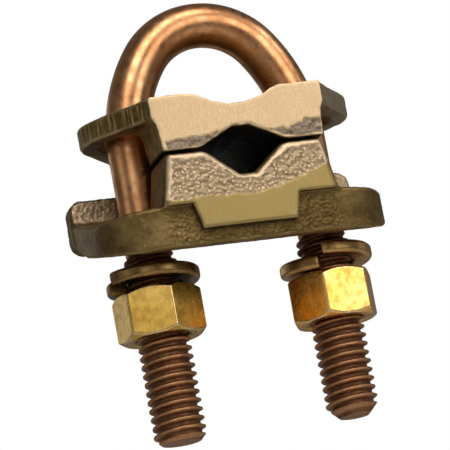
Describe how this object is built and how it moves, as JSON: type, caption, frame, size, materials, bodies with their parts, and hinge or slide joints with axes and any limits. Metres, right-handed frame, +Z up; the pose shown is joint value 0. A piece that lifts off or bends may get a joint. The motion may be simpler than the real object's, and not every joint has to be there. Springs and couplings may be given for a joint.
{
  "type": "ground clamp",
  "caption": "U-bolt ground clamp: two bronze saddles on a threaded U-bolt grip a ground rod under the bend and a bare cable in a diamond slot between them.",
  "frame": {"origin": "midway between the two studs, at the level of their tips", "axes": "+Z up the studs to the bend, +X from the left stud to the right one, -Y out of the front with the raised pad"},
  "size_m": [0.0532, 0.0324, 0.0796],
  "materials": {
    "rod_bronze": "satin",
    "upper_casting": "ground",
    "lower_casting": "as cast",
    "washer_bronze": "satin",
    "nut_bronze": "polished"
  },
  "bodies": {
    "u_bolt": {"u_bolt": "rod_bronze"},
    "lower_saddle": {"lower_saddle": "lower_casting"},
    "upper_saddle": {"upper_saddle": "upper_casting"},
    "lock_washer_left": {"lock_washer_left": "washer_bronze"},
    "lock_washer_right": {"lock_washer_right": "washer_bronze"},
    "hex_nut_left": {"hex_nut_left": "nut_bronze"},
    "hex_nut_right": {"hex_nut_right": "nut_bronze"}
  },
  "joints": [
    {"name": "saddle_travel", "type": "slide", "parent": "u_bolt", "child": "lower_saddle", "axis": [0, 0, 1], "range_m": [-0.0127, 0]},
    {"name": "nut_left_turn", "type": "hinge", "parent": "lower_saddle", "child": "hex_nut_left", "pos_m": [-0.01615, 0, 0.0232], "axis": [0, 0, 1], "range_deg": [-2880, 0]},
    {"name": "nut_right_turn", "type": "hinge", "parent": "lower_saddle", "child": "hex_nut_right", "pos_m": [0.01615, 0, 0.0225], "axis": [0, 0, 1], "range_deg": [-2880, 0]},
    {"name": "jaw_opening", "type": "slide", "parent": "lower_saddle", "child": "upper_saddle", "axis": [0, 0, 1], "range_m": [0, 0.0027]},
    {"name": "washer_left_spin", "type": "hinge", "parent": "lower_saddle", "child": "lock_washer_left", "pos_m": [-0.01615, 0, 0.0296], "axis": [0, 0, 1], "continuous": true},
    {"name": "washer_right_spin", "type": "hinge", "parent": "lower_saddle", "child": "lock_washer_right", "pos_m": [0.01615, 0, 0.0292], "axis": [0, 0, 1], "continuous": true}
  ],
  "couplings": [
    {"joint": "nut_left_turn", "follows": "saddle_travel", "rad_per_m": 3957.9},
    {"joint": "nut_right_turn", "follows": "saddle_travel", "rad_per_m": 3957.9}
  ]
}
